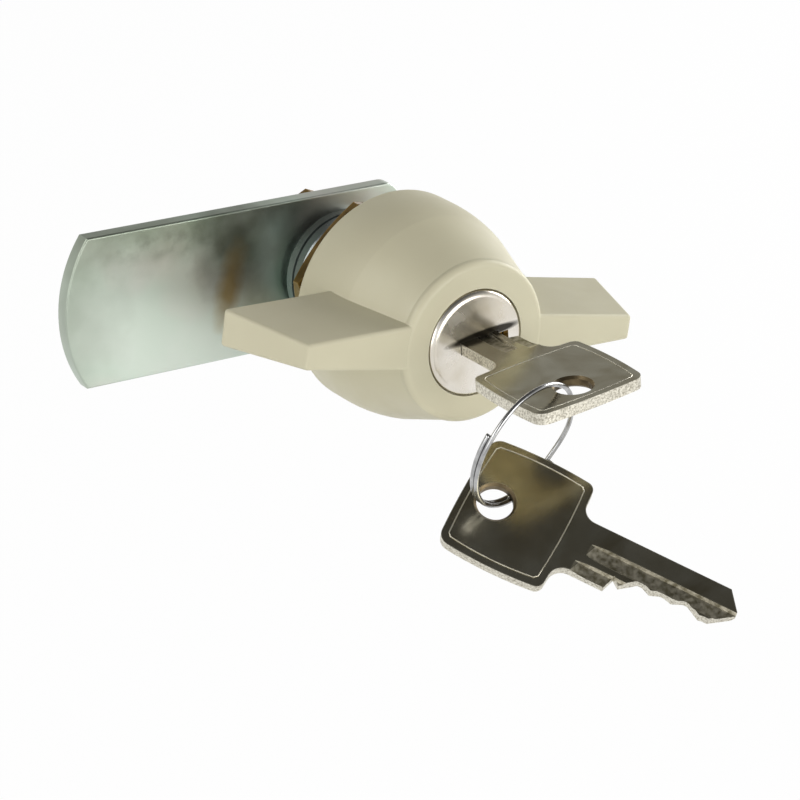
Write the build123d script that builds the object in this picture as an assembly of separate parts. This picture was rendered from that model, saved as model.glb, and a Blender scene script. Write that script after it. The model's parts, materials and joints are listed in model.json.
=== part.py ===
from build123d import *
import math
import os

# Cam lock with a wing knob. Millimetres. The lock's axis is Y and the key goes in from -Y.
# The origin lies on that axis, in the plane of the outside of the door panel. The cam points to -X.

# Knob
knob_length = 26.2
knob_back_radius = 19.5
knob_front_radius = 14.45
knob_waist_radius = 18.4
knob_waist_depth = 13.0
knob_shoulder_radius = 19.2
knob_shoulder_depth = 9.0
knob_straight_rim = 4.5
knob_lip = 1.6
knob_rim_gap = 0.3
knob_front_round = 1.2
knob_back_round = 0.6
knob_wall = 2.6
knob_floor = 4.5
knob_ribs = 8
knob_rib_width = 1.4
knob_droop = 6.3
wing_front_reach = 33.8
wing_back_reach = 39.6
wing_back_depth = 8.1
wing_front_setback = 0.15
wing_tip_front_thickness = 4.4
wing_tip_back_thickness = 6.5
wing_taper = 0.166
wing_root = 10.0
wing_round = 0.7

# Fixed barrel and its nut
barrel_radius = 11.0
barrel_length = 14.1
barrel_chamfer = 0.6
barrel_flat = 9.9
flange_radius = 15.5
flange_thickness = 2.5
nut_across_flats = 30.0
nut_thickness = 4.0
grip_thickness = 2.05

# Rotor: lock housing, journal, shaft and threaded square tail in one casting
sleeve_radius = 9.2
journal_length = 6.2
shaft_radius = 7.4
tail_radius = 7.0
tail_flats = 10.6
tail_spare = 1.5
collar_radius = 13.9
collar_thickness = 3.6
thrust_washer_thickness = 0.35

# Plug, wafers and springs
plug_radius = 6.5
plug_cap_radius = 9.45
plug_cap_thickness = 1.5
plug_cap_round = 1.2
plug_proud = 0.57
plug_back_wall = 1.3
plug_angle = 7.2
wafer_count = 4
wafer_pitch = 4.0
wafer_thickness = 0.95
wafer_width = 7.6
wafer_edge = 0.12
wafer_travel = 1.2
channel_depth = 1.4
spring_radius = 0.55
spring_wire = 0.18
spring_turns = 5
retainer_thickness = 0.9
retainer_gap = 2.4
retainer_step = 0.75

# Locking bolt and the eccentric pin that moves it
pin_offset = 1.5
pin_radius = 0.8
bolt_thickness = 1.5
bolt_width = 5.0
bolt_clearance = 0.12
bolt_seat = 0.35
bolt_inset = 0.15
bolt_direction = 264.0
turn_range = 90.0

# Cam, washers and cam nut
stop_thickness = 2.2
stop_lug_length = 1.8
stop_lug_half_angle = 12.0
stop_lug_angle = 10.0
spacer_radius = 9.2
spacer_thickness = 1.25
cam_width = 27.5
cam_thickness = 2.95
cam_tip = 50.2
cam_tip_bulge = 4.2
cam_heel = 13.8
cam_heel_round = 3.0
cam_edge_round = 0.35
cam_nut_across_flats = 22.0
cam_nut_thickness = 5.4
cam_nut_turn = 36.5
nut_turn = 45.8

# Keys and ring
key_thickness = 2.0
bow_length = 18.6
bow_width = 21.2
bow_corner = 2.2
bow_shoulder = 1.5
bow_side_bulge = 0.6
bow_end_bulge = 0.4
bow_hole_radius = 3.1
bow_hole_chamfer = 0.45
bow_hole_inset = 5.3
neck_fillet = 2.6
blade_width = 9.7
blade_back = 4.5
blade_tip = 4.1
stem_length = 8.9
key_outside = 11.9
key_offset = 1.2
tip_width = 3.4
tip_flat = 0.5
tip_slope = 2.5
first_cut_width = 7.2
first_cut_place = 9.7
first_ridge_width = 8.2
first_ridge_place = 11.0
cut_widths = (6.0, 6.0, 5.5, 6.7)
peak_widths = (6.7, 6.35, 6.85)
peak_places = (16.0, 19.8, 24.8)
first_wafer_place = 14.0
cut_flat = 0.8
groove_depth = 0.55
groove_wall = 0.35
groove_wheel = 12.0
groove_left = -1.0
groove_right = 1.8
groove_start = 7.6
step_left = 2.9
step_start = 6.4
under_groove_left = -3.0
under_groove_right = -0.2
ring_radius = 11.53
ring_wire = 0.45
ring_normal = Vector(-0.2335, 0.9322, 0.2765)
ring_rest = 1.8634
ring_rest_side = Vector(-0.660080, 0.670813, 0.338090)
ring_hangs = Vector(-0.5783, 0.0951, -0.8102)
spare_hang = 11.6573
spare_hangs = Vector(-0.285658, 0.224752, -0.931604)
spare_side = Vector(-0.7635, -0.3472, -0.5448)
spare_face = Vector(-0.3081, -0.5455, 0.7794)

# Running fits and small gaps
running = 0.05
loose = 0.1
face_gap = 0.05
screw_radius = 1.4
screw_head_radius = 2.7
screw_cover = 8.7
screw_sunk = 0.1
screw_slot = 0.8
screw_slot_depth = 0.7
screw_circle = 11.4
long_reach = 60.0

# Places along the axis
knob_front = -knob_length
face_front = knob_front - plug_proud
cap_back = face_front + plug_cap_thickness
sleeve_front = cap_back + face_gap
collar_back = -flange_thickness - face_gap - thrust_washer_thickness
collar_front = collar_back - collar_thickness
screw_length = knob_length + collar_front - screw_cover
blade_length = first_wafer_place + (wafer_count - 1) * wafer_pitch + blade_tip
keyway_end = face_front + blade_length - key_outside + loose
plug_back = keyway_end + plug_back_wall
bolt_front = bolt_clearance - flange_thickness + bolt_inset
bolt_back = bolt_front + bolt_thickness
tail_start = barrel_length + face_gap
stop_back = tail_start + stop_thickness
spacer_back = stop_back + spacer_thickness
cam_back = spacer_back + cam_thickness
tail_end = cam_back + cam_nut_thickness + tail_spare
bolt_travel = pin_offset * math.sqrt(2)
key_place = face_front - key_outside
blade_middle = key_offset - blade_back + blade_width / 2


def turned(shape, degrees):
    """Turns a shape about the lock's axis, from +X towards +Z."""
    return Rot(0, -degrees, 0) * shape


def spun(points):
    """A solid of revolution about the lock's axis, from (radius, place along the axis) points."""
    return revolve(make_face(Polyline(*points, close=True)), Axis.Y)


def disc(radius, start, end):
    return spun([(0, start), (radius, start), (radius, end), (0, end)])


def ring_of(outer, inner, start, end):
    return spun([(inner, start), (outer, start), (outer, end), (inner, end)])


def sector(outer, inner, start, end, middle, half_angle):
    """A piece of a ring, centred on an angle that is counted from +X towards +Z."""
    face = make_face(Polyline((inner, start), (outer, start), (outer, end), (inner, end), close=True))
    return turned(revolve(face, Axis.Y, 2 * half_angle), middle + half_angle)


def block(low, high):
    """A box between two corners."""
    size = [b - a for a, b in zip(low, high)]
    middle = [(a + b) / 2 for a, b in zip(low, high)]
    return Pos(*middle) * Box(*size)


def along_axis(face_maker, start, end):
    """Extrudes a face drawn in the XZ plane along the lock's axis. Its drawn x is +X and its drawn y is +Z."""
    plane = Plane(origin=(0, end, 0), x_dir=(1, 0, 0), z_dir=(0, -1, 0))
    return extrude(plane * face_maker, end - start)


def hex_nut(across_flats, bore, start, end, turn):
    """A hexagon nut with both faces chamfered to a circle."""
    corner = across_flats / math.sqrt(3)
    rim = across_flats / 2
    drop = (corner - rim) * math.tan(math.radians(30))
    prism = along_axis(RegularPolygon(rim, 6, major_radius=False), start, end)
    crown = spun([(0, start), (rim, start), (corner, start + drop), (corner, end - drop), (rim, end), (0, end)])
    return turned((prism & crown) - disc(bore, start - 1, end + 1), turn)


def tail_section(gap):
    """The tail's section: a round thread with four flats."""
    side = tail_flats + 2 * gap
    return Circle(tail_radius + gap) & Rectangle(side, side)


def knob_outside():
    rim = -knob_rim_gap
    lip = (knob_front_radius, knob_front + knob_lip)
    waist = (knob_waist_radius, -knob_waist_depth)
    front = Polyline((0, knob_front), (knob_front_radius, knob_front), lip, waist)
    shoulder = (knob_shoulder_radius, -knob_shoulder_depth)
    flank = ThreePointArc(waist, shoulder, (knob_back_radius, -knob_straight_rim))
    back = Polyline((knob_back_radius, -knob_straight_rim), (knob_back_radius, rim), (0, rim), (0, knob_front))
    body = revolve(make_face(front + flank + back), Axis.Y)
    circles = body.edges().filter_by(GeomType.CIRCLE)
    body = fillet(circles.sort_by(Axis.Y)[0], knob_front_round)
    circles = body.edges().filter_by(GeomType.CIRCLE)
    return fillet(circles.sort_by(Axis.Y)[-1], knob_back_round)


def wing():
    """One wing, from inside the knob to its slanted end. It thins towards the tip and the front."""
    front = knob_front + wing_front_setback
    back = -wing_back_depth
    tip_front = wing_tip_front_thickness / 2
    tip_back = wing_tip_back_thickness / 2
    root_front = tip_front + (wing_front_reach - wing_root) * wing_taper / 2
    root_back = tip_back + (wing_back_reach - wing_root) * wing_taper / 2

    def end(front_x, back_x, front_half, back_half):
        corners = [
            (front_x, front, -front_half),
            (back_x, back, -back_half),
            (back_x, back, back_half),
            (front_x, front, front_half),
        ]
        return make_face(Polyline(*corners, close=True))

    root = end(wing_root, wing_root, root_front, root_back)
    tip = end(wing_front_reach, wing_back_reach, tip_front, tip_back)
    body = loft([root, tip], ruled=True)
    free = [e for e in body.edges() if e.bounding_box().max.X > wing_root + 1]
    return fillet(free, wing_round)


def knob_core():
    """The moulded-out ring behind the knob's skin, crossed by ribs and by two screw bosses."""
    boss = sleeve_radius + loose + knob_wall
    deep = knob_front + knob_floor
    outer_back = knob_back_radius - knob_wall
    outer_front = knob_front_radius - knob_wall / 2
    waist = (knob_waist_radius - knob_wall, -knob_waist_depth)
    shoulder = (knob_shoulder_radius - knob_wall, -knob_shoulder_depth)
    flank = ThreePointArc(waist, shoulder, (outer_back, -knob_straight_rim))
    back = Polyline((outer_back, -knob_straight_rim), (outer_back, 0), (boss, 0), (boss, deep), (outer_front, deep), waist)
    core = revolve(make_face(flank + back), Axis.Y)
    half = knob_rib_width / 2
    for i in range(knob_ribs):
        rib = block((0, deep - 1, -half), (knob_back_radius, collar_front, half))
        core -= turned(rib, (i + 0.5) * 360 / knob_ribs)
    for side in (0, 180):
        core -= turned(screw_boss(screw_radius + knob_wall), side)
    return core


def screw_boss(radius):
    length = screw_length + knob_wall
    return Pos(screw_circle, collar_front - length / 2, 0) * Rot(90, 0, 0) * Cylinder(radius, length)


def wing_knob():
    body = knob_outside() + wing() + mirror(wing(), Plane.YZ)
    pocket = flange_radius + loose + face_gap
    body -= knob_core()
    body -= disc(pocket, collar_front, 0)
    body -= disc(sleeve_radius + running, knob_front - 1, 0)
    body -= disc(plug_cap_radius + loose + face_gap, knob_front - 1, cap_back)
    for side in (0, 180):
        hole = Pos(screw_circle, collar_front - screw_length / 2, 0) * Rot(90, 0, 0)
        body -= turned(hole * Cylinder(screw_radius + face_gap, screw_length), side)
    return turned(body, -knob_droop)


def knob_screws():
    """Two countersunk screws from the back of the collar into the knob."""
    shank = Pos(screw_circle, 0, 0) * disc(screw_radius, collar_front - screw_length, collar_back - screw_sunk)
    slot = block(
        (screw_circle - screw_head_radius, collar_back - screw_slot_depth, -screw_slot / 2),
        (screw_circle + screw_head_radius, collar_back, screw_slot / 2),
    )
    screw = shank + screw_head(0) - slot
    return [turned(screw, side - knob_droop) for side in (0, 180)]


def screw_head(gap):
    """The countersunk head, or with a gap the seat for it."""
    top = collar_back - screw_sunk
    deep = top - (screw_head_radius - screw_radius)
    cone = [(0, deep), (screw_radius + gap, deep), (screw_head_radius + gap, top), (0, top)]
    return Pos(screw_circle, 0, 0) * spun(cone)


def bolt_slot(gap):
    """The straight slot across the rotor in which the locking bolt slides."""
    half = bolt_width / 2 + gap
    reach = bolt_inner_end() + bolt_clearance
    return turned(
        block((-reach, bolt_front - gap, -half), (long_reach, bolt_back + gap, half)),
        bolt_direction,
    )


def bolt_inner_end():
    return pin_offset + pin_radius + 2.0


def bolt_nose():
    """How far the drawn-back bolt reaches from the axis."""
    return sleeve_radius - bolt_seat


def rotor_housing():
    body = disc(sleeve_radius, sleeve_front, journal_length)
    body += disc(collar_radius, collar_front, collar_back)
    body += disc(shaft_radius, journal_length, tail_start)
    tail = along_axis(tail_section(0), tail_start, tail_end)
    end_chamfer = spun([(0, tail_start), (tail_radius, tail_start), (tail_radius, tail_end - 0.8), (tail_radius - 0.8, tail_end), (0, tail_end)])
    body += tail & end_chamfer
    body -= disc(plug_radius + running, sleeve_front - 1, plug_back + loose)
    body -= wafer_channels()
    body -= ring_of(plug_radius + retainer_step + loose, plug_radius, retainer_front() - loose, retainer_front() + retainer_thickness + loose)
    body -= pin_room()
    body -= turned(bolt_slot(0.06), -knob_droop)
    for side in (0, 180):
        hole = Pos(screw_circle, 0, 0) * disc(screw_radius + face_gap, collar_front - 1, collar_back)
        seat = Pos(screw_circle, 0, 0) * disc(screw_head_radius + face_gap, collar_back - screw_sunk, collar_back + 1)
        body -= turned(hole + screw_head(face_gap) + seat, side - knob_droop)
    return body


def pin_room():
    """The round room behind the plug in which the eccentric pin goes round."""
    radius = pin_offset + pin_radius + loose
    return disc(radius, plug_back, bolt_back + loose)


def wafer_channels():
    """Channels beside the plug, into which the wafers spring at both ends of the key's turn."""
    half = wafer_width / 2 + loose
    reach = plug_radius + channel_depth
    back = wafer_place(wafer_count - 1) + wafer_thickness
    bar = block((-reach, sleeve_front - 1, -half), (reach, back, half))
    bars = bar + turned(bar, -turn_range)
    return turned(bars & disc(reach, sleeve_front - 1, 0), plug_angle)


def retainer_front():
    """The retaining wafer sits behind the last coded wafer."""
    return wafer_place(wafer_count - 1) + retainer_gap


def wafer_place(index):
    """Middle of a wafer along the axis, over its cut in the key."""
    return key_place + first_wafer_place + index * wafer_pitch


def keyway():
    """The keyway's section: the blade's with its two grooves, and a running gap all round."""
    half = key_thickness / 2 + loose
    bar = Pos(blade_middle, 0, 0) * Rectangle(blade_width + 2 * loose, 2 * half)
    bar -= keyway_rib(groove_left, groove_right, half)
    bar -= keyway_rib(step_left, blade_width, half)
    return bar - keyway_rib(under_groove_left, under_groove_right, -half)


def keyway_rib(left, right, surface):
    """The rib that stands in one of the blade's grooves."""
    middle = key_offset + (left + right) / 2
    side = groove_wall + loose
    return Pos(middle, surface, 0) * Rectangle(right - left - 2 * side, 2 * groove_depth)


def lock_plug():
    body = disc(plug_radius, cap_back - face_gap, plug_back)
    cap = disc(plug_cap_radius, face_front, cap_back)
    rims = cap.edges().filter_by(GeomType.CIRCLE).sort_by(Axis.Y)
    body += fillet(rims[0], plug_cap_round)
    body -= along_axis(keyway(), face_front - 1, keyway_end)
    half = wafer_width / 2 + running
    for i in range(wafer_count):
        front = wafer_place(i) - wafer_thickness / 2 - running
        back = front + wafer_thickness + 2 * running
        body -= block((-long_reach, front, -half), (long_reach, back, half))
        body -= spring_pocket(i)
    front = retainer_front() - running
    back = front + retainer_thickness + 2 * running
    body -= block((-long_reach, front, -half), (0, back, half))
    body = turned(body, plug_angle)
    return body + eccentric_pin()


def eccentric_pin():
    """The pin on the plug's back that moves the bolt. The key's turn takes it from 135 to 45 degrees off its line."""
    angle = bolt_direction - knob_droop + 90 + turn_range / 2
    return turned(Pos(pin_offset, 0, 0) * disc(pin_radius, plug_back - 1, bolt_back - bolt_clearance), angle)


def window_edge():
    """Where the wafers' windows end on the cut side: past the tallest tooth that goes by while they spring out."""
    tallest = max(cut_widths + peak_widths)
    return key_offset - blade_back + tallest + wafer_travel / 2 + loose


def wafer(index):
    """A coded wafer. Its window's far side lies lower by the depth of its own cut."""
    place = wafer_place(index)
    half = wafer_width / 2
    front = place - wafer_thickness / 2
    back = place + wafer_thickness / 2
    body = block((-plug_radius, front, -half), (plug_radius, back, half))
    body &= disc(plug_radius - wafer_edge, front, back)
    drop = max(cut_widths) - cut_widths[index]
    low = key_offset - blade_back - loose - drop
    high_z = key_thickness / 2 + loose
    body -= block((low, front - 1, -high_z), (window_edge(), back + 1, high_z))
    body -= spring_notch(index)
    return turned(body, plug_angle)


def spring_side(index):
    """Springs lie above the key on one wafer and below it on the next."""
    return 1 if index % 2 == 0 else -1


def spring_height(index):
    return spring_side(index) * (wafer_width / 2 - spring_radius)


def spring_notch(index):
    """The open notch in a wafer's side where its spring pushes."""
    z = spring_height(index)
    room = spring_radius + loose
    place = wafer_place(index)
    far = z + spring_side(index) * long_reach
    low, high = sorted((z - spring_side(index) * room, far))
    half = spring_span() / 2
    return block((-half, place - wafer_thickness, low), (half + wafer_travel, place + wafer_thickness, high))


def spring_span():
    return 2 * spring_radius * 3


def spring_pocket(index):
    """The round pocket in the plug that carries a wafer's spring, across the wafer's slot."""
    span = spring_span()
    middle = (0, wafer_place(index), spring_height(index))
    return Pos(*middle) * Rot(0, 90, 0) * Cylinder(spring_radius + loose, span)


def wafer_springs():
    """One small coil spring for each wafer."""
    springs = []
    coil = spring_radius - spring_wire
    pitch = (spring_span() - 2 * loose - 2 * spring_wire) / spring_turns
    path = Helix(pitch, pitch * spring_turns, coil)
    start = path @ 0
    wire = sweep(Plane(origin=start, z_dir=path % 0) * Circle(spring_wire), path=path, is_frenet=True)
    wire = Pos(0, 0, -pitch * spring_turns / 2) * wire
    for i in range(wafer_count):
        placed = Pos(0, wafer_place(i), spring_height(i)) * Rot(0, 90, 0) * wire
        springs.append(turned(placed, plug_angle))
    return springs


def retaining_wafer():
    """The wafer that keeps the plug in: its end stands in a groove round the housing's bore."""
    front = retainer_front()
    back = front + retainer_thickness
    half = wafer_width / 2
    reach = plug_radius + retainer_step
    body = block((-reach, front, -half), (0 - face_gap, back, half)) & disc(reach, front, back)
    window = key_offset - blade_back - loose - face_gap
    high_z = key_thickness / 2 + loose + face_gap
    body -= block((window, front - 1, -high_z), (1, back + 1, high_z))
    return turned(body, plug_angle)


def locking_bolt():
    """A flat bolt with a cross slot for the eccentric pin and a nose that goes into the barrel's flange."""
    half = bolt_width / 2
    body = block((-bolt_inner_end(), bolt_front, -half), (bolt_nose(), bolt_back, half))
    body = chamfer(body.edges().filter_by(Axis.Y).sort_by(Axis.X)[-2:], 0.6)
    slot = pin_radius + bolt_clearance
    at = -bolt_travel / 2
    reach = pin_offset + slot
    body -= block((at - slot, bolt_front - 1, -reach), (at + slot, bolt_back + 1, reach))
    return turned(body, bolt_direction - knob_droop)


def bolt_notch(angle):
    """A notch in the flange's bore for the bolt's nose, open to the front."""
    half = bolt_width / 2 + bolt_clearance
    reach = bolt_nose() + bolt_travel + bolt_clearance
    return turned(block((0, -flange_thickness - 1, -half), (reach, bolt_back + bolt_clearance, half)), angle)


def threaded_barrel():
    body = disc(flange_radius, -flange_thickness, 0)
    rims = body.edges().filter_by(GeomType.CIRCLE).sort_by(Axis.Y)
    body = fillet(rims[0], knob_back_round)
    tube = disc(barrel_radius, -1, barrel_length)
    rims = tube.edges().filter_by(GeomType.CIRCLE).sort_by(Axis.Y)
    body += chamfer(rims[-1], barrel_chamfer)
    body -= block((-long_reach, 0, -long_reach), (long_reach, long_reach, -barrel_flat))
    body -= disc(sleeve_radius + running, -flange_thickness - 1, journal_length + face_gap)
    body -= disc(shaft_radius + running, 0, barrel_length + 1)
    for angle in (bolt_direction - knob_droop, bolt_direction - knob_droop - turn_range):
        body -= bolt_notch(angle)
    middle = stop_lug_angle - turn_range / 2
    half = turn_range / 2 + stop_lug_half_angle + 0.5
    return body - sector(long_reach, 0, barrel_length - stop_lug_length - face_gap, barrel_length + 1, middle, half)


def mounting_nut():
    nut = hex_nut(nut_across_flats, barrel_radius + face_gap, grip_thickness, grip_thickness + nut_thickness, nut_turn)
    return nut


def thrust_washer():
    back = -flange_thickness - face_gap
    return ring_of(collar_radius, sleeve_radius + loose, back - thrust_washer_thickness, back)


def stop_washer():
    """The washer on the tail's flats whose lug runs in the barrel's end notch and stops the knob after its turn."""
    body = disc(barrel_radius, tail_start, stop_back)
    body = chamfer(body.edges().filter_by(GeomType.CIRCLE).sort_by(Axis.Y)[-1], barrel_chamfer)
    inner = shaft_radius + running
    lug_front = barrel_length - stop_lug_length
    body += sector(barrel_radius - face_gap, inner, lug_front, tail_start + 1, stop_lug_angle, stop_lug_half_angle)
    return body - along_axis(tail_section(running), 0, long_reach)


def spacer_washer():
    return disc(spacer_radius, stop_back, spacer_back) - along_axis(tail_section(running), 0, long_reach)


def cam():
    """A flat plate with a bowed tip, on the tail's flats."""
    half = cam_width / 2
    tip = ThreePointArc((-cam_tip, half), (-cam_tip - cam_tip_bulge, 0), (-cam_tip, -half))
    rest = Polyline((-cam_tip, -half), (cam_heel, -half), (cam_heel, half), (-cam_tip, half))
    face = make_face(tip + rest)
    face = fillet(face.vertices().sort_by(Axis.X)[-2:], cam_heel_round)
    plate = along_axis(face, spacer_back, cam_back)
    fronts = plate.edges().filter_by_position(Axis.Y, spacer_back, spacer_back)
    backs = plate.edges().filter_by_position(Axis.Y, cam_back, cam_back)
    plate = fillet(fronts + backs, cam_edge_round)
    return plate - along_axis(tail_section(running), 0, long_reach)


def cam_nut():
    return hex_nut(cam_nut_across_flats, tail_radius + face_gap, cam_back, cam_back + cam_nut_thickness, cam_nut_turn)


def bow_face():
    """The key's bow before its corners are rounded: a square with bowed sides."""
    half = bow_width / 2
    corners = [(-half, 0), (half, 0), (half, -bow_length), (-half, -bow_length)]
    middles = [
        (0, bow_end_bulge),
        (half + bow_side_bulge, -bow_length / 2),
        (0, -bow_length - bow_end_bulge),
        (-half - bow_side_bulge, -bow_length / 2),
    ]
    sides = [ThreePointArc(corners[i], middles[i], corners[(i + 1) % 4]) for i in range(4)]
    return make_face(sides[0] + sides[1] + sides[2] + sides[3])


def blade_face():
    """The blade seen flat, with its cuts on the +X side. Widths count from its straight back edge."""
    back = -blade_back
    points = [(0, -1), (back, -1), (back, blade_length - tip_slope), (back + tip_width, blade_length)]
    points.append((back + tip_width + tip_flat, blade_length))
    for i in reversed(range(wafer_count)):
        middle = first_wafer_place + i * wafer_pitch
        points.append((back + cut_widths[i], middle + cut_flat / 2))
        points.append((back + cut_widths[i], middle - cut_flat / 2))
        if i:
            points.append((back + peak_widths[i - 1], peak_places[i - 1]))
    points.append((back + first_ridge_width, first_ridge_place))
    points.append((back + first_cut_width, first_cut_place))
    points.append((back + blade_width, stem_length))
    points.append((back + blade_width, -1))
    return make_face(Polyline(*points, close=True))


def key_blank():
    """A flat key, face up, with the bow's near edge at y = 0 and the blade along +Y."""
    face = bow_face() + blade_face()
    rounds = (
        (neck_fillet, (-blade_back, blade_width - blade_back)),
        (bow_shoulder, (-bow_width / 2, bow_width / 2)),
    )
    for radius, places in rounds:
        near = [v for v in face.vertices() if abs(v.Y) < 1 and min(abs(v.X - x) for x in places) < 0.1]
        face = fillet(near, radius)
    face = fillet(face.vertices().sort_by(Axis.Y)[:2], bow_corner)
    body = Pos(0, 0, -key_thickness / 2) * extrude(face, key_thickness)
    body -= Pos(0, -bow_length + bow_hole_inset, 0) * Cylinder(bow_hole_radius, 2 * key_thickness)
    rims = [e for e in body.edges().filter_by(GeomType.CIRCLE) if abs(e.radius - bow_hole_radius) < 0.01]
    body = chamfer(rims, bow_hole_chamfer)
    body -= milled(groove_left, groove_right, groove_start)
    body -= milled(step_left, blade_width, step_start)
    return body - Rot(0, 180, 0) * milled(-under_groove_right, -under_groove_left, groove_start)


def milled(left, right, start):
    """What a wheel with slanted sides mills out of the blade's upper face, from its run-out near the bow to the tip."""
    surface = key_thickness / 2
    floor = surface - groove_depth
    top = surface + groove_depth
    slant = groove_wall
    corners = [(left + slant, floor), (right - slant, floor), (right + slant, top), (left - slant, top)]
    section = Plane(origin=(0, start, 0), x_dir=(1, 0, 0), z_dir=(0, -1, 0)) * make_face(Polyline(*corners, close=True))
    run = extrude(section, -(blade_length + 1 - start))
    wheel = revolve(section, Axis((0, start, floor + groove_wheel), (1, 0, 0)))
    return run + wheel


def key():
    return turned(Pos(key_offset, key_place, 0) * key_blank(), plug_angle)


def key_hole_middle():
    hole = turned(Vertex(key_offset, key_place - bow_length + bow_hole_inset, 0), plug_angle)
    return Vector(hole.X, hole.Y, hole.Z)


def ring_middle():
    return key_hole_middle() + ring_rest_side * ring_rest + ring_hangs * ring_radius


def key_ring():
    plane = Plane(origin=ring_middle(), z_dir=ring_normal)
    return plane.location * Torus(ring_radius, ring_wire)


def spare_key():
    """The second key on the ring, placed by its hole."""
    hole = ring_middle() + spare_hangs * spare_hang
    seat = Plane(origin=hole, x_dir=spare_side, z_dir=spare_face)
    return seat.location * Pos(0, bow_length - bow_hole_inset, 0) * key_blank()


def write(name, shape):
    solids = shape if isinstance(shape, list) else [shape]
    export_step(Compound(children=[s for piece in solids for s in piece.solids()]), f"parts/{name}.step")


def main():
    os.makedirs("parts", exist_ok=True)
    write("threaded_barrel", threaded_barrel())
    write("mounting_nut", mounting_nut())
    write("wing_knob", wing_knob())
    write("knob_screws", knob_screws())
    write("rotor_housing", rotor_housing())
    write("thrust_washer", thrust_washer())
    write("stop_washer", stop_washer())
    write("spacer_washer", spacer_washer())
    write("cam", cam())
    write("cam_nut", cam_nut())
    write("locking_bolt", locking_bolt())
    write("lock_plug", lock_plug())
    for i in range(wafer_count):
        write(f"wafer_{i + 1}", wafer(i))
    write("wafer_springs", wafer_springs())
    write("retaining_wafer", retaining_wafer())
    write("key", key())
    write("key_ring", key_ring())
    write("spare_key", spare_key())


main()
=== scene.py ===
import json
import math

import bmesh
import bpy
from mathutils import Matrix, Vector


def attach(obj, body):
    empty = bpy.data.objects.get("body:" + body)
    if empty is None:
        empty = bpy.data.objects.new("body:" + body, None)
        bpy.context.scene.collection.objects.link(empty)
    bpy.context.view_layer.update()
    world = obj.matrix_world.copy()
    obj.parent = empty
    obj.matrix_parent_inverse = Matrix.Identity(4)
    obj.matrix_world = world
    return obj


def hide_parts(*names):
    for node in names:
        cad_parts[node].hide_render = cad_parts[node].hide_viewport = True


# Looks of the cam lock. Lengths are metres in the frame of the CAD: the lock's axis is Y, the key
# side is -Y and +Z is up.
MM = 0.001

# Camera
CAMERA_PLACE = (-0.2939, -0.4226, 0.1917)
CAMERA_RIGHT = (0.8249, -0.5645, 0.0311)
CAMERA_UP = (0.1910, 0.3299, 0.9245)
CAMERA_LENS = 140.97
SENSOR_WIDTH = 36
CLIP_START = 0.01
CLIP_END = 10

# Studio. The world's stops are heights, 0 straight down to 1 straight up, with their levels.
WORLD_WHITE_TO = 0.53
WORLD_STOPS = ((0.62, 0.7), (0.72, 0.46), (0.86, 0.16))
WORLD_TOP = 0.08
WORLD_WARMTH = 0.97
FLOOR_GLOW = 0.97
FLOOR_REACH = 3.0
FLOOR_LEVEL = -0.09
FLOOR_COLOUR = (0.86, 0.86, 0.85, 1)
FLOOR_ROUGHNESS = 0.9
# Lamps: name, place, diameter, power
LAMPS = (
    ("front_low", (0.15, -0.9, -0.02), 0.7, 5.9),
    ("right_back", (0.75, 0.05, 0.27), 0.5, 4.8),
    ("left_low", (-0.75, -0.3, 0.06), 0.5, 1.1),
    ("left_high", (-0.6, 0.05, 0.4), 0.4, 1.4),
)
LAMP_AIM = (0, -0.01, 0)

# Threads. The barrel has one flat, below, and the tail has four.
BARREL_RADIUS = 11.0 * MM
BARREL_FLAT = 9.9 * MM
BARREL_THREADS = ((0.25 * MM, 1.9 * MM), (6.25 * MM, 12.1 * MM))
TAIL_RADIUS = 7.0 * MM
TAIL_FLAT = 5.3 * MM
TAIL_THREAD = (26.2 * MM, 27.0 * MM)
THREAD_PITCH = 1.0 * MM
THREAD_HEIGHT = 0.16 * MM
THREAD_DEPTH = 0.05 * MM
THREAD_HALF_WIDTH = 0.42 * THREAD_PITCH
THREAD_HALF_CREST = 0.1 * THREAD_HALF_WIDTH
THREAD_STEPS = 96

# Keys
PLUG_ANGLE = math.radians(7.2)
KEY_THICKNESS = 2.0 * MM
GROOVE_LEVEL = 0.8 * MM
BOW_LENGTH = 18.6 * MM
BOW_WIDTH = 21.2 * MM
BOW_SIDE_BULGE = 0.6 * MM
BOW_END_BULGE = 0.4 * MM
BOW_HOLE_INSET = 5.3 * MM
BOW_HOLE_EDGE = 3.6 * MM
BORDER_INSET = 1.25 * MM
BORDER_CORNER = 0.5 * MM
BORDER_WIDTH = 0.22 * MM
BORDER_HEIGHT = 0.07 * MM
BORDER_PROFILE = ((-1, -0.4), (-0.55, 0.75), (0, 1), (0.55, 0.75), (1, -0.4))
BORDER_STEPS = 8
RIM_TILT = 0.5
HOLE_TILT = 0.95
KEY_PLACE = Vector((1.2, -38.67, 0)) * MM
SPARE_HOLE = Vector((-10.04, -47.0, -19.42)) * MM
SPARE_SIDE = Vector((-0.7635, -0.3472, -0.5448))
SPARE_FACE = Vector((-0.3081, -0.5455, 0.7794))

# Split ring. RING_PARTING is how far from the wire's middle its coils begin to part, and over how
# much of its length they do. RING_SHIFT moves the wire along the axis before they part.
RING_MIDDLE = Vector((-6.71, -49.62, -8.56)) * MM
RING_NORMAL = Vector((-0.2335, 0.9322, 0.2765))
RING_RADIUS = 11.53 * MM
RING_WIRE = 0.42 * MM
RING_SIDES = 14
RING_STEPS = 220
RING_TURNS = 1.48
RING_PITCH = 0.86 * MM
RING_PARTING = (0.1, 0.075)
RING_SHIFT = 0.15 * MM
RING_START = math.radians(300.5)

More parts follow.
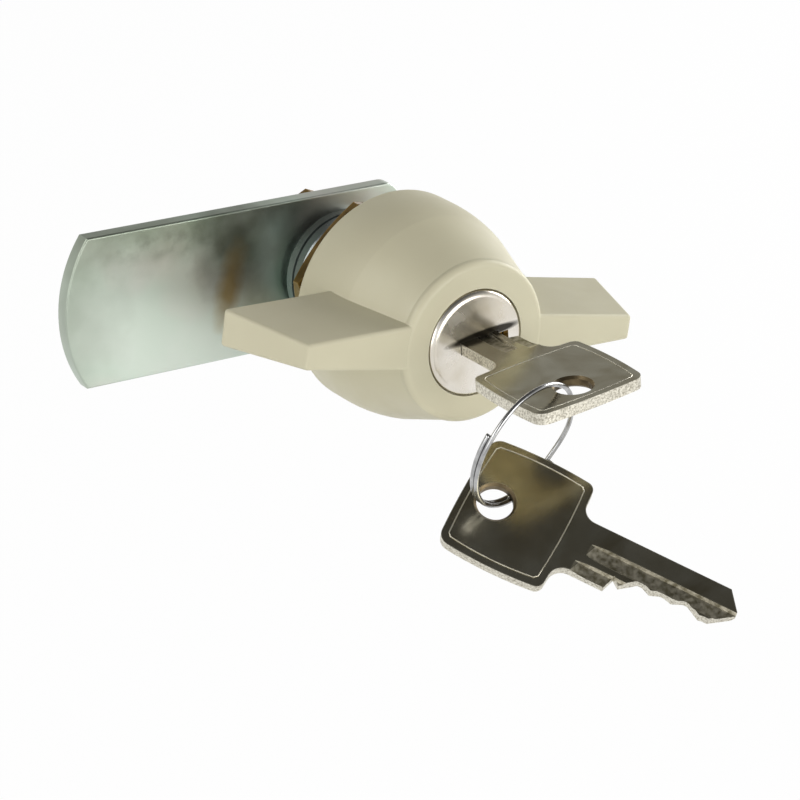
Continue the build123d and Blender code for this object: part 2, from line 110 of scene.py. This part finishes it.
# Colours, as they look on screen
KNOB_CREAM = (204, 199, 172)
KNOB_SHADE = (196, 190, 163)
# Painted highlight on the knob's edges
KNOB_EDGE_HIGHLIGHT = (222, 218, 198)
ZINC = (146, 151, 153)
ZINC_GREEN = (126, 136, 135)
ZINC_PINK = (150, 146, 145)
ZINC_DARK = (84, 90, 90)
# Painted highlight on the zinc parts' edges
ZINC_EDGE_HIGHLIGHT = (186, 192, 190)
CAM_MINT = (190, 207, 191)
CAM_SILVER = (201, 210, 199)
CAM_PINK = (205, 196, 191)
# Darker tone: a band along the cam's top, and painted shade towards its far end
CAM_DARKER = (132, 141, 124)
# Painted shade next to the barrel, and the dark of the smudges
CAM_SHADE_AND_SMUDGE = (98, 104, 90)
CAM_BROWN = (172, 152, 106)
# Painted highlight on the cam's edges
CAM_EDGE_HIGHLIGHT = (196, 204, 196)
GOLD = (164, 134, 78)
GOLD_DARK = (78, 62, 36)
# Painted highlight on the nut's edges
GOLD_EDGE_HIGHLIGHT = (214, 176, 104)
NICKEL = (230, 226, 218)
NICKEL_WARM = (208, 200, 184)
# Painted highlight on the plug's edges
NICKEL_EDGE_HIGHLIGHT = (226, 223, 214)
# Painted shadow: the dark of the keyway's gap above the key's blade
KEYWAY_SHADOW_DARK = (34, 30, 24)
KEY_NICKEL = (186, 182, 164)
KEY_WORN = (158, 150, 126)
# Pale key edges: rubbed wear and a painted highlight
KEY_EDGE_WEAR_AND_HIGHLIGHT = (222, 216, 198)
RIM_DARK = (150, 144, 128)
RIM_PALE = (226, 222, 208)
GROOVE_DARK = (124, 118, 98)
GROOVE_PALE = (192, 186, 168)
HOLE_BRASS = (120, 106, 80)
HOLE_DARK = (76, 66, 50)
# Painted highlight along the stamped border's ridge
BORDER_HIGHLIGHT = (236, 232, 218)
BORDER_HIGHLIGHT_DIM = (206, 200, 184)
STEEL = (190, 190, 190)
STEEL_DARK = (150, 150, 150)
BRASS = (196, 164, 92)
BRASS_DARK = (150, 118, 60)

# Noise: the part of its range that most of it lies in, and the grain of a patch's ragged border
NOISE_MIDDLE = (0.3, 0.7)
STAIN_AND_SHADE_GRAIN = 220

# Edges: how alike a bevelled and a plain normal are on a full edge and on a flat surface
EDGE_ALIKE = 0.86
FLAT_ALIKE = 0.995
EDGE_SAMPLES = 4

# Stains and painted shade, in millimetres: middle, half sizes, turn about Y in degrees
# Painted shade on the cam next to the barrel
CAM_SHADE_BY_BARREL = ((-21.5, 17.6, 9.0), (10, 9, 13), 0)
CAM_BROWN_STREAK = ((-21.6, 17.6, 0.5), (3.4, 9, 9.5), 12)
CAM_SMUDGES = ((-36.0, 17.6, 10.3), (15, 9, 3.6), 0)
# A darker band along the top of the cam
CAM_TOP_BAND = ((-40.0, 17.6, 15.5), (34, 9, 11), 0)
# Painted shade towards the cam's far end
CAM_END_PAINTED_SHADE = ((-57.0, 17.6, 4.0), (17, 9, 30), 0)
# Painted shadow along the keyway's upper lip, where the gap above the blade is dark
KEYWAY_PAINTED_SHADOW = ((1.35, -26.7, 1.45), (8.5, 4, 1.05), -7.2)


def linear(colour):
    """Turns a screen colour, 0 to 255, into the linear one that shaders take."""
    parts = []
    for value in colour:
        v = value / 255
        parts.append(v / 12.92 if v <= 0.04045 else ((v + 0.055) / 1.055) ** 2.4)
    return (*parts, 1.0)


class Shader:
    """A material with one Principled shader and the few kinds of node that these looks need."""

    def __init__(self, name, metallic):
        self.material = bpy.data.materials.new(name)
        self.material.use_nodes = True
        self.tree = self.material.node_tree
        self.main = self.tree.nodes["Principled BSDF"]
        self.main.inputs["Metallic"].default_value = metallic
        self.place = self.add("ShaderNodeTexCoord").outputs["Object"]

    def add(self, kind, **settings):
        node = self.tree.nodes.new(kind)
        for key, value in settings.items():
            setattr(node, key, value)
        return node

    def link(self, source, target):
        self.tree.links.new(source, target)

    def set(self, node, **values):
        for key, value in values.items():
            node.inputs[key.replace("_", " ")].default_value = value
        return node

    def stretched(self, scale):
        """The object's own coordinates, scaled along each axis."""
        mapping = self.add("ShaderNodeMapping")
        mapping.inputs["Scale"].default_value = scale
        self.link(self.place, mapping.inputs["Vector"])
        return mapping.outputs["Vector"]

    def noise(self, scale, detail=4.0, stretch=(1, 1, 1), distortion=0.0):
        node = self.add("ShaderNodeTexNoise")
        self.set(node, Scale=scale, Detail=detail, Distortion=distortion)
        self.link(self.stretched(stretch), node.inputs["Vector"])
        return node.outputs["Fac"]

    def ramp(self, source, low, high, start=0.0, end=1.0):
        """Turns values from start to end into values from low to high."""
        node = self.add("ShaderNodeMapRange")
        self.set(node, From_Min=start, From_Max=end, To_Min=low, To_Max=high)
        self.link(source, node.inputs["Value"])
        return node.outputs["Result"]

    def clouds(self, scale, detail, start, end, distortion=0.0, full=1.0):
        """Patches of 0 to full: noise with its values from start to end spread out."""
        noise = self.noise(scale, detail, distortion=distortion)
        return self.ramp(noise, 0, full, start, end)

    def mix(self, share, first, second):
        """A colour between two colours, each a screen colour or a socket."""
        node = self.add("ShaderNodeMix", data_type="RGBA")
        self.link(share, node.inputs["Factor"])
        for value, socket in ((first, node.inputs[6]), (second, node.inputs[7])):
            if isinstance(value, tuple):
                socket.default_value = linear(value)
            else:
                self.link(value, socket)
        return node.outputs[2]

    def tint(self, mask, strength, base, colour):
        """The base with a colour laid over it where the mask is."""
        return self.mix(self.math("MULTIPLY", mask, strength), base, colour)

    def math(self, operation, first, second):
        node = self.add("ShaderNodeMath", operation=operation)
        for value, socket in ((first, node.inputs[0]), (second, node.inputs[1])):
            if isinstance(value, (int, float)):
                socket.default_value = value
            else:
                self.link(value, socket)
        return node.outputs[0]

    def stain_and_shade(self, spot, ragged, soft=0.8):
        """1 in the middle of a patch, a stained one or one of painted shade, fading to 0 with a
        ragged border.
        """
        middle, sizes, turn = spot
        inside = self.add("ShaderNodeMapping", vector_type="TEXTURE")
        self.link(self.place, inside.inputs["Vector"])
        inside.inputs["Location"].default_value = Vector(middle) * MM
        inside.inputs["Rotation"].default_value = (0, math.radians(turn), 0)
        inside.inputs["Scale"].default_value = Vector(sizes) * MM
        away = self.add("ShaderNodeVectorMath", operation="LENGTH")
        self.link(inside.outputs["Vector"], away.inputs[0])
        border = self.math("MULTIPLY", self.noise(STAIN_AND_SHADE_GRAIN, 5), ragged)
        total = self.math("ADD", away.outputs["Value"], border)
        return self.ramp(total, 1, 0, 1 - soft + ragged / 2, 1 + ragged / 2)

    def edges(self, width):
        """1 on edges sharper than the given width, 0 on flat surfaces."""
        bevel = self.add("ShaderNodeBevel", samples=EDGE_SAMPLES)
        bevel.inputs["Radius"].default_value = width
        plain = self.add("ShaderNodeNewGeometry").outputs["Normal"]
        dot = self.add("ShaderNodeVectorMath", operation="DOT_PRODUCT")
        self.link(bevel.outputs["Normal"], dot.inputs[0])
        self.link(plain, dot.inputs[1])
        return self.ramp(dot.outputs["Value"], 1.0, 0.0, EDGE_ALIKE, FLAT_ALIKE)

    def colour(self, source):
        self.link(source, self.main.inputs["Base Color"])

    def roughness(self, source):
        self.link(source, self.main.inputs["Roughness"])

    def rough_patches(self, scale, detail, low, high):
        """A roughness that wanders from low to high."""
        self.roughness(self.ramp(self.noise(scale, detail), low, high, *NOISE_MIDDLE))

    def bump(self, source, distance, strength=1.0):
        node = self.add("ShaderNodeBump")
        self.set(node, Strength=strength, Distance=distance)
        self.link(source, node.inputs["Height"])
        self.link(node.outputs["Normal"], self.main.inputs["Normal"])


def moulded_knob():
    """Cream enamelled casting with a soft sheen, a fine orange peel and a painted highlight on its
    edges.
    """
    s = Shader("moulded_knob", metallic=0.0)
    base = s.mix(s.clouds(45, 3, *NOISE_MIDDLE), KNOB_SHADE, KNOB_CREAM)
    # painted highlight: every edge tinted paler
    s.colour(s.tint(s.edges(0.5 * MM), 0.35, base, KNOB_EDGE_HIGHLIGHT))
    s.rough_patches(260, 4, low=0.40, high=0.54)
    s.bump(s.noise(1500, 3), distance=0.03 * MM, strength=0.35)
    s.main.inputs["Specular IOR Level"].default_value = 0.42
    return s.material


def zinc_plate():
    """Bright zinc plating with faint green and pink colours, duller handling marks and painted
    highlights on the edges.
    """
    s = Shader("zinc_plate", metallic=1.0)
    base = s.mix(s.clouds(38, 3, 0.35, 0.65, distortion=1.2), ZINC_GREEN, ZINC)
    base = s.tint(s.clouds(85, 4, 0.42, 0.62, distortion=0.8), 0.3, base, ZINC_PINK)
    base = s.mix(s.clouds(90, 5, 0.52, 0.72, distortion=0.6, full=0.55), base, ZINC_DARK)
    # painted highlight: every edge tinted paler
    s.colour(s.tint(s.edges(0.3 * MM), 0.4, base, ZINC_EDGE_HIGHLIGHT))
    s.rough_patches(300, 5, low=0.24, high=0.4)
    rolled = s.noise(900, 2, stretch=(0.06, 1, 1))
    s.bump(rolled, distance=0.012 * MM, strength=0.5)
    return s.material


def cam_plating():
    """Satin zinc plating: mint and silver clouds, a trace of pink, a brown streak and smudges, a
    darker band along the top, painted shade next to the barrel and at the far end, and painted
    highlights on the edges.
    """
    s = Shader("cam_zinc", metallic=1.0)
    base = s.mix(s.clouds(34, 3, 0.38, 0.62, distortion=0.5), CAM_MINT, CAM_SILVER)
    base = s.mix(s.clouds(48, 2, 0.5, 0.66, full=0.5), base, CAM_PINK)
    stains_and_shade = (
        # a darker band along the top
        (CAM_TOP_BAND, 0.5, 0.8, CAM_DARKER),
        # painted shade towards the far end
        (CAM_END_PAINTED_SHADE, 0.4, 0.6, CAM_DARKER),
        # painted shade on the cam next to the barrel
        (CAM_SHADE_BY_BARREL, 0.8, 0.72, CAM_SHADE_AND_SMUDGE),
        (CAM_BROWN_STREAK, 0.7, 0.9, CAM_BROWN),
    )
    for spot, ragged, strength, colour in stains_and_shade:
        base = s.tint(s.stain_and_shade(spot, ragged), strength, base, colour)
    blots = s.clouds(380, 4, 0.4, 0.66, full=0.45)
    # smudges: real marks, in the same dark as the painted shade
    base = s.mix(s.math("MULTIPLY", s.stain_and_shade(CAM_SMUDGES, 0.6), blots), base, CAM_SHADE_AND_SMUDGE)
    # painted highlight: every edge tinted paler
    s.colour(s.tint(s.edges(0.3 * MM), 0.3, base, CAM_EDGE_HIGHLIGHT))
    s.rough_patches(260, 5, low=0.34, high=0.44)
    s.bump(s.noise(1100, 3), distance=0.008 * MM, strength=0.4)
    return s.material


def gold_plate():
    """Yellow passivated steel, brown in patches, with painted highlights on the edges."""
    s = Shader("gold_plate", metallic=1.0)
    base = s.mix(s.clouds(140, 4, 0.35, 0.7, distortion=0.6), GOLD_DARK, GOLD)
    # painted highlight: every edge tinted brighter
    s.colour(s.tint(s.edges(0.4 * MM), 0.6, base, GOLD_EDGE_HIGHLIGHT))
    s.rough_patches(420, 3, low=0.24, high=0.42)
    s.bump(s.noise(1100, 3), distance=0.02 * MM, strength=0.4)
    return s.material


def polished_nickel():
    """The plug: polished plating with hairlines, a painted shadow in the face above the key, and
    painted highlights on its edges.
    """
    s = Shader("polished_nickel", metallic=1.0)
    base = s.mix(s.clouds(120, 3, 0.35, 0.7), NICKEL, NICKEL_WARM)
    # painted shadow of the keyway's gap, laid into the face's colour above the blade
    base = s.tint(s.stain_and_shade(KEYWAY_PAINTED_SHADOW, 0.12, soft=0.3), 0.95, base, KEYWAY_SHADOW_DARK)
    # painted highlight: every edge tinted paler
    s.colour(s.tint(s.edges(0.25 * MM), 0.3, base, NICKEL_EDGE_HIGHLIGHT))
    s.rough_patches(300, 3, low=0.2, high=0.3)
    hairlines = s.noise(2400, 2, stretch=(1, 1, 0.08))
    s.bump(hairlines, distance=0.006 * MM, strength=0.4)
    return s.material


def worn_key():
    """Nickel-plated key flats with fine scratches, worn warm in patches, with pale edges that are
    rubbed and also carry a painted highlight.
    """
    s = Shader("worn_key", metallic=1.0)
    base = s.mix(s.clouds(110, 4, 0.35, 0.68, distortion=1.0), KEY_NICKEL, KEY_WORN)
    edge = s.edges(0.35 * MM)
    # pale edges: rubbed wear and a painted highlight
    s.colour(s.tint(edge, 0.5, base, KEY_EDGE_WEAR_AND_HIGHLIGHT))
    rough = s.ramp(s.noise(160, 3), 0.17, 0.24, *NOISE_MIDDLE)
    s.roughness(s.math("ADD", rough, s.math("MULTIPLY", edge, 0.2)))
    scratches = s.noise(1900, 3, stretch=(1, 0.12, 1))
    s.bump(scratches, distance=0.006 * MM, strength=0.4)
    return s.material


def cut_edge():
    """The key's rim, sheared and tumbled: matt and grainy."""
    s = Shader("cut_edge", metallic=1.0)
    s.colour(s.mix(s.clouds(3000, 3, 0.3, 0.6), RIM_DARK, RIM_PALE))
    s.rough_patches(900, 3, low=0.32, high=0.55)
    s.bump(s.noise(3200, 3), distance=0.04 * MM, strength=0.7)
    return s.material


def milled_groove():
    """The blade's grooves: bare, pale and grained by the cutter."""
    s = Shader("milled_groove", metallic=1.0)
    streaks = s.noise(1100, 4)
    s.colour(s.mix(s.ramp(streaks, 0, 1, 0.35, 0.65), GROOVE_DARK, GROOVE_PALE))
    s.rough_patches(500, 3, low=0.42, high=0.54)
    s.bump(streaks, distance=0.03 * MM, strength=0.8)
    return s.material


def plain_metal(name, colour, dark, roughness):
    """Even metal with light colour changes, for small pieces and wire."""
    s = Shader(name, metallic=1.0)
    s.colour(s.mix(s.clouds(400, 3, 0.35, 0.7), colour, dark))
    s.rough_patches(800, 3, low=roughness - 0.04, high=roughness + 0.08)
    s.bump(s.noise(2600, 2), distance=0.01 * MM, strength=0.3)
    return s.material


def paint(node, *materials):
    """Puts these materials in place of a node's own."""
    mesh = node.data
    mesh.materials.clear()
    for material in materials:
        mesh.materials.append(material)


def paint_rims(node, seat):
    """Gives a key's rims its second material, the ring hole the third, the grooves the fourth."""
    face_normal = (seat.to_3x3() @ Vector((0, 0, 1))).normalized()
    hole = seat @ Vector((0, BOW_HOLE_INSET - BOW_LENGTH, 0))
    for polygon in node.data.polygons:
        offset = polygon.center - hole
        height = offset.dot(face_normal)
        from_hole = (offset - face_normal * height).length
        tilt = abs(polygon.normal.dot(face_normal))
        polygon.material_index = 0
        if tilt < RIM_TILT:
            polygon.material_index = 1
        if tilt > RIM_TILT and abs(height) < GROOVE_LEVEL:
            polygon.material_index = 3
        if tilt < HOLE_TILT and from_hole < BOW_HOLE_EDGE:
            polygon.material_index = 2


def shown(name, mesh, material, body):
    """Adds a piece that rides on a body of the CAD."""
    piece = bpy.data.objects.new(name, mesh)
    bpy.context.scene.collection.objects.link(piece)
    mesh.materials.append(material)
    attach(piece, body)
    return piece


def smooth(mesh):
    for polygon in mesh.polygons:
        polygon.use_smooth = True


def finished(mesh, name):
    """Turns a bmesh into mesh data with its normals outwards."""
    bmesh.ops.recalc_face_normals(mesh, faces=mesh.faces)
    data = bpy.data.meshes.new(name)
    mesh.to_mesh(data)
    mesh.free()
    return data


def join_loops(mesh, one, two):
    """Faces between two closed loops of the same number of corners."""
    count = len(one)
    for k in range(count):
        after = (k + 1) % count
        mesh.faces.new((one[k], one[after], two[after], two[k]))


def tube_mesh(name, points, frames, radius, sides):
    """A round tube along points. frames holds two directions across the tube at each point."""
    mesh = bmesh.new()
    loops = []
    for point, (first, second) in zip(points, frames):
        loop = []
        for k in range(sides):
            a = 2 * math.pi * k / sides
            corner = point + first * radius * math.cos(a) + second * radius * math.sin(a)
            loop.append(mesh.verts.new(corner))
        loops.append(loop)
    for one, two in zip(loops, loops[1:]):
        join_loops(mesh, one, two)
    mesh.faces.new(list(reversed(loops[0])))
    mesh.faces.new(loops[-1])
    data = finished(mesh, name)
    smooth(data)
    return data


def split_ring(material):
    """The key ring: spring wire wound about one and a half times round."""
    axis = RING_NORMAL.normalized()
    across = axis.cross(Vector((0, 0, 1))).normalized()
    over = axis.cross(across)
    together, parting = RING_PARTING
    points, frames = [], []
    for i in range(RING_STEPS + 1):
        share = i / RING_STEPS - 0.5
        angle = RING_START + 2 * math.pi * RING_TURNS * share
        out = across * math.cos(angle) + over * math.sin(angle)
        apart = min(max((abs(share) - together) / parting, 0), 1)
        apart *= apart * (3 - 2 * apart)
        rise = math.copysign(RING_PITCH / 2 * apart, share) - RING_SHIFT * (1 - apart)
        points.append(RING_MIDDLE + out * RING_RADIUS + axis * rise)
        frames.append((out, axis))
    mesh = tube_mesh("split_ring", points, frames, RING_WIRE, RING_SIDES)
    ring = shown("split_ring", mesh, material, "key_ring")
    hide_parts("key_ring")


def on_flat(x, z, radius, flat, all_round):
    """Whether a direction round a shaft lies on its flat, below, or on one of four all round."""
    if all_round:
        return max(abs(x), abs(z)) * radius > flat
    return radius * -z > flat


def thread_ridges(name, radius, flat, all_round, ends, material, body):
    """A helical ridge on a round shaft, left out where the shaft has flats."""
    start, end = ends
    profile = (
        (-THREAD_DEPTH, -THREAD_HALF_WIDTH),
        (THREAD_HEIGHT, -THREAD_HALF_CREST),
        (THREAD_HEIGHT, THREAD_HALF_CREST),
        (-THREAD_DEPTH, THREAD_HALF_WIDTH),
    )
    mesh = bmesh.new()
    count = int((end - start) / THREAD_PITCH * THREAD_STEPS)
    before = None
    for i in range(count + 1):
        angle = 2 * math.pi * i / THREAD_STEPS
        place = start + (end - start) * i / count
        x, z = math.cos(angle), math.sin(angle)
        if on_flat(x, z, radius, flat, all_round):
            before = None
            continue
        row = []
        for out, along in profile:
            corner = ((radius + out) * x, place + along, (radius + out) * z)
            row.append(mesh.verts.new(corner))
        if before:
            join_loops(mesh, before, row)
        else:
            mesh.faces.new(row)
        before = row
    shown(name, finished(mesh, name), material, body)


def border_outline():
    """The stamped border's line: a square with bowed sides, in the key's own coordinates."""
    half = BOW_WIDTH / 2 - BORDER_INSET
    near = -BORDER_INSET
    far = BORDER_INSET - BOW_LENGTH
    corners = ((half, near), (-half, near), (-half, far), (half, far))
    bulges = (BOW_END_BULGE, BOW_SIDE_BULGE, BOW_END_BULGE, BOW_SIDE_BULGE)
    line = []
    for i, bulge in enumerate(bulges):
        start = Vector((*corners[i], 0))
        end = Vector((*corners[(i + 1) % 4], 0))
        reach = (end - start).length
        along = (end - start).normalized()
        out = Vector((along.y, -along.x, 0)) * bulge
        cut = BORDER_CORNER / reach
        for step in range(BORDER_STEPS + 1):
            share = cut + (1 - 2 * cut) * step / BORDER_STEPS
            line.append(start + along * reach * share + out * (1 - (2 * share - 1) ** 2))
    return line


def stamped_border(name, seat, side, material, body):
    """A low rounded ridge along the border of one face of a bow."""
    line = border_outline()
    level = side * KEY_THICKNESS / 2
    mesh = bmesh.new()
    loops = []
    for i, point in enumerate(line):
        ahead = (line[(i + 1) % len(line)] - line[i - 1]).normalized()
        out = Vector((ahead.y, -ahead.x, 0))
        loop = []
        for across, rise in BORDER_PROFILE:
            up = Vector((0, 0, level + side * rise * BORDER_HEIGHT))
            corner = point + out * across * BORDER_WIDTH / 2 + up
            loop.append(mesh.verts.new(seat @ corner))
        loops.append(loop)
    for one, two in zip(loops, loops[1:] + loops[:1]):
        join_loops(mesh, one, two)
    data = finished(mesh, name)
    smooth(data)
    shown(name, data, material, body)


def key_seat():
    """Where the key's own coordinates lie in the lock: its bow from y = 0 outwards, its face up."""
    turn = Matrix.Rotation(-PLUG_ANGLE, 4, "Y")
    return turn @ Matrix.Translation(KEY_PLACE)


def spare_seat():
    """The same for the spare key, placed by its ring hole and two directions."""
    side = SPARE_SIDE.normalized()
    face = SPARE_FACE.normalized()
    along = face.cross(side)
    turn = Matrix((side, along, face)).transposed().to_4x4()
    shift = Matrix.Translation(Vector((0, BOW_LENGTH - BOW_HOLE_INSET, 0)))
    return Matrix.Translation(SPARE_HOLE) @ turn @ shift


def dress():
    """Gives the CAD's nodes their looks and adds the scene's own pieces."""
    zinc = zinc_plate()
    key_flat = worn_key()
    wire = plain_metal("spring_steel", STEEL, STEEL_DARK, 0.2)
    looks = {
        "zinc_plate": zinc,
        "cam_zinc": cam_plating(),
        "gold_plate": gold_plate(),
        "knob_enamel": moulded_knob(),
        "polished_nickel": polished_nickel(),
        "wafer_brass": plain_metal("wafer_brass", BRASS, BRASS_DARK, 0.3),
        "spring_steel": wire,
        "key_nickel": key_flat,
    }
    for row in frame["record"]["subparts"]:
        paint(frame["nodes"][row["node"]], looks[row["material_slot"]])
    key_rim = cut_edge()
    key_hole = plain_metal("key_hole", HOLE_BRASS, HOLE_DARK, 0.4)
    key_groove = milled_groove()
    # the stamped border is painted paler than the key: a painted highlight along its ridge
    border = plain_metal("stamped_border", BORDER_HIGHLIGHT, BORDER_HIGHLIGHT_DIM, 0.34)
    for node, seat in (("key", key_seat()), ("spare_key", spare_seat())):
        paint(frame["nodes"][node], key_flat, key_rim, key_hole, key_groove)
        paint_rims(frame["nodes"][node], seat)
        stamped_border(f"{node}_border_front", seat, 1, border, node)
        stamped_border(f"{node}_border_back", seat, -1, border, node)
    split_ring(wire)
    for i, ends in enumerate(BARREL_THREADS):
        name = f"barrel_thread_{i + 1}"
        thread_ridges(name, BARREL_RADIUS, BARREL_FLAT, False, ends, zinc, "barrel")
    thread_ridges("tail_thread", TAIL_RADIUS, TAIL_FLAT, True, TAIL_THREAD, zinc, "knob")


def add_camera():
    """The photo's camera, as it was solved from the photo."""
    data = bpy.data.cameras.new("camera")
    data.lens = CAMERA_LENS
    data.sensor_width = SENSOR_WIDTH
    data.clip_start = CLIP_START
    data.clip_end = CLIP_END
    camera = bpy.data.objects.new("camera", data)
    right = Vector(CAMERA_RIGHT).normalized()
    up = Vector(CAMERA_UP)
    up = (up - right * up.dot(right)).normalized()
    back = right.cross(up)
    turn = Matrix((right, up, back)).transposed().to_4x4()
    camera.matrix_world = Matrix.Translation(CAMERA_PLACE) @ turn
    bpy.context.scene.collection.objects.link(camera)
    bpy.context.scene.camera = camera


def add_lamp(name, place, aim, size, power):
    """A round soft lamp that points at a place."""
    data = bpy.data.lights.new(name, "AREA")
    data.shape = "DISK"
    data.size = size
    data.energy = power
    lamp = bpy.data.objects.new(name, data)
    lamp.location = place
    lamp.rotation_mode = "QUATERNION"
    lamp.rotation_quaternion = (Vector(aim) - Vector(place)).to_track_quat("-Z", "Y")
    bpy.context.scene.collection.objects.link(lamp)


def add_world():
    """A white studio: white behind and below, darker overhead, the same for every kind of ray."""
    world = bpy.data.worlds.new("studio")
    bpy.context.scene.world = world
    world.use_nodes = True
    tree = world.node_tree
    background = tree.nodes["Background"]
    place = tree.nodes.new("ShaderNodeTexCoord")
    split = tree.nodes.new("ShaderNodeSeparateXYZ")
    ramp = tree.nodes.new("ShaderNodeValToRGB")
    spread = tree.nodes.new("ShaderNodeMapRange")
    spread.inputs["From Min"].default_value = -1
    spread.inputs["From Max"].default_value = 1
    tree.links.new(place.outputs["Generated"], split.inputs["Vector"])
    tree.links.new(split.outputs["Z"], spread.inputs["Value"])
    tree.links.new(spread.outputs["Result"], ramp.inputs["Fac"])
    tree.links.new(ramp.outputs["Color"], background.inputs["Color"])
    stops = ramp.color_ramp.elements
    stops[0].position = WORLD_WHITE_TO
    stops[0].color = (1, 1, 1, 1)
    stops[1].position = 1.0
    stops[1].color = (WORLD_TOP, WORLD_TOP, WORLD_TOP, 1)
    for position, level in WORLD_STOPS:
        stop = stops.new(position)
        stop.color = (level, level, level * WORLD_WARMTH, 1)
    background.inputs["Strength"].default_value = 1.0


def add_floor():
    """A wide pale floor well below the keys. It glows for the camera and in mirror images."""
    data = bpy.data.meshes.new("floor")
    corners = []
    for x, y in ((-1, -1), (1, -1), (1, 1), (-1, 1)):
        corners.append((x * FLOOR_REACH, y * FLOOR_REACH, FLOOR_LEVEL))
    data.from_pydata(corners, [], [(0, 1, 2, 3)])
    floor = bpy.data.objects.new("floor", data)
    bpy.context.scene.collection.objects.link(floor)
    material = bpy.data.materials.new("floor")
    material.use_nodes = True
    tree = material.node_tree
    shader = tree.nodes["Principled BSDF"]
    shader.inputs["Base Color"].default_value = FLOOR_COLOUR
    shader.inputs["Roughness"].default_value = FLOOR_ROUGHNESS
    glow = tree.nodes.new("ShaderNodeEmission")
    path = tree.nodes.new("ShaderNodeLightPath")
    either = path.outputs["Is Camera Ray"]
    for kind in ("Is Glossy Ray", "Is Transmission Ray"):
        largest = tree.nodes.new("ShaderNodeMath")
        largest.operation = "MAXIMUM"
        tree.links.new(either, largest.inputs[0])
        tree.links.new(path.outputs[kind], largest.inputs[1])
        either = largest.outputs[0]
    seen = tree.nodes.new("ShaderNodeMath")
    seen.operation = "MULTIPLY"
    seen.inputs[1].default_value = FLOOR_GLOW
    mix = tree.nodes.new("ShaderNodeMixShader")
    tree.links.new(either, seen.inputs[0])
    tree.links.new(seen.outputs[0], mix.inputs[0])
    tree.links.new(shader.outputs[0], mix.inputs[1])
    tree.links.new(glow.outputs[0], mix.inputs[2])
    tree.links.new(mix.outputs[0], tree.nodes["Material Output"].inputs["Surface"])
    data.materials.append(material)


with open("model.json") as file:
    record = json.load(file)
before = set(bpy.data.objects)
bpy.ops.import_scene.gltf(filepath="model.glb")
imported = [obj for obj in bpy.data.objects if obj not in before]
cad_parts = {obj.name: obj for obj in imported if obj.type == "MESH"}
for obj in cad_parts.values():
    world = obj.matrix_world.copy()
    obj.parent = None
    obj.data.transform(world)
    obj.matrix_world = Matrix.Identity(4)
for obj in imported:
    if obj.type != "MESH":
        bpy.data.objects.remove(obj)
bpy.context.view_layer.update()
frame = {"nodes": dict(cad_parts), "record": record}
dress()
add_camera()
add_world()
add_floor()
for lamp_name, lamp_place, lamp_size, lamp_power in LAMPS:
    add_lamp(lamp_name, lamp_place, LAMP_AIM, lamp_size, lamp_power)
bpy.context.scene.view_settings.view_transform = "Standard"
